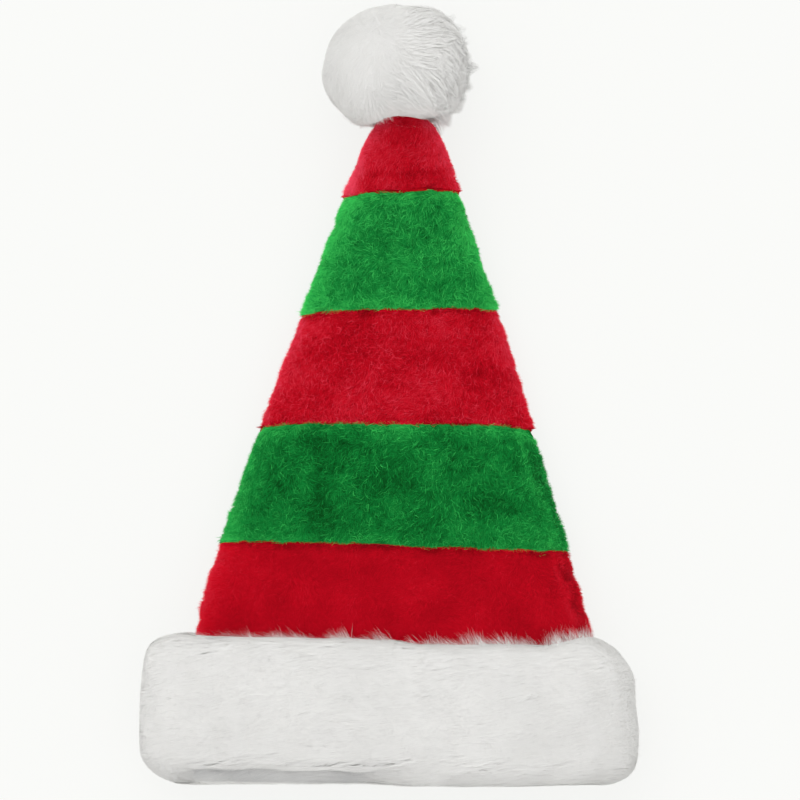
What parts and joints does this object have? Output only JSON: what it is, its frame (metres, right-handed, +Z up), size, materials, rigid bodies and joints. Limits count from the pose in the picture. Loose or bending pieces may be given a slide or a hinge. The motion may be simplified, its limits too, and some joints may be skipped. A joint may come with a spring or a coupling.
{
  "type": "striped plush christmas hat with fur cuff and pompom",
  "caption": "Long tapered plush hat in red and green stripes, with a thick white fur cuff round the opening and a white fur pompom on the tip, lying flat.",
  "frame": {"origin": "on the surface that the hat lies on, under the middle of its outline", "axes": "+Y from the mouth to the pompom, +X to the wearer's left as seen from the front, +Z up from the surface through the hat's front"},
  "size_m": [0.2942, 0.4668, 0.0742],
  "materials": {
    "red_plush": "short-pile plush, matt with lighter rims",
    "green_plush": "short-pile plush, matt with lighter rims",
    "cuff_fur": "long silky fur, combed sideways",
    "pompom_fur": "long fluffy fur in soft tufts"
  },
  "bodies": {
    "root": {"front_tip_red": "red_plush", "front_upper_green": "green_plush", "front_middle_red": "red_plush", "front_lower_green": "green_plush", "front_base_red": "red_plush", "back_tip_red": "red_plush", "back_upper_green": "green_plush", "back_middle_red": "red_plush", "back_lower_green": "green_plush", "back_base_red": "red_plush", "fur_cuff": "cuff_fur", "pompom": "pompom_fur"}
  },
  "joints": []
}
